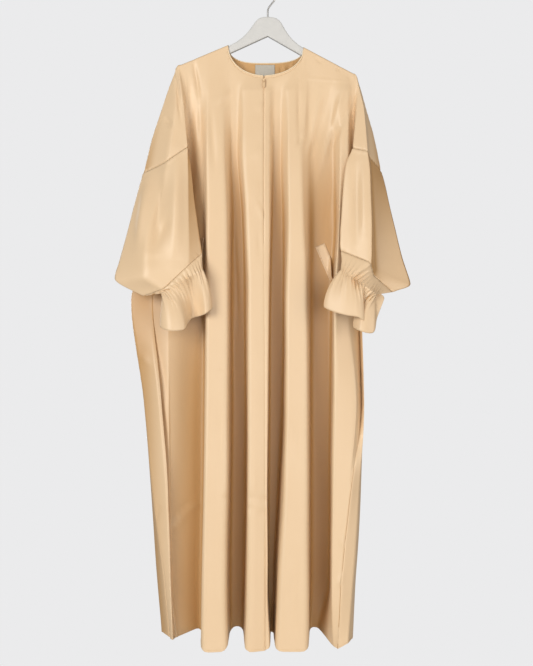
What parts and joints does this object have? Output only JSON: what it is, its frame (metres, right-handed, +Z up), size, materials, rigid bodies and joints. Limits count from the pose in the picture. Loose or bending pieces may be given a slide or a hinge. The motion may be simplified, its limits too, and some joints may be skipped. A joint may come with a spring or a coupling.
{
  "type": "abaya on a clothes hanger",
  "caption": "Loose floor-length satin abaya with a front zip and gathered ruffled cuffs, hanging in folds on a flat clothes hanger.",
  "frame": {"origin": "inside top of the hanger's hook, where a rail carries it", "axes": "+Z up, +X to the right as seen from the front, the front of the garment faces -Y"},
  "size_m": [0.698, 0.2167, 1.5618],
  "materials": {
    "satin": "soft satin weave in champagne peach, plain and unprinted",
    "zip_tape": "knitted zip tape in the cloth's colour",
    "zip_metal": "zip slider and pull coated in the cloth's colour",
    "label": "plain woven neck label in pale grey, bare",
    "hanger_body": "white satin lacquer",
    "hook_steel": "polished steel wire"
  },
  "bodies": {
    "garment": {"front_left": "satin", "front_right": "satin", "back": "satin", "sleeve_left": "satin", "sleeve_right": "satin", "cuff_left": "satin", "cuff_right": "satin", "pocket_welt_left": "satin", "pocket_welt_right": "satin", "zip_tape": "zip_tape", "zip_slider": "zip_metal", "label": "label", "hanger": "hanger_body", "hook": "hook_steel"},
    "zip_pull": {"zip_pull": "zip_metal"}
  },
  "joints": [
    {"name": "zip_pull", "type": "hinge", "parent": "garment", "child": "zip_pull", "pos_m": [-0.009, -0.01756, -0.231], "axis": [-1, 0, 0], "range_deg": [0, 150]}
  ]
}
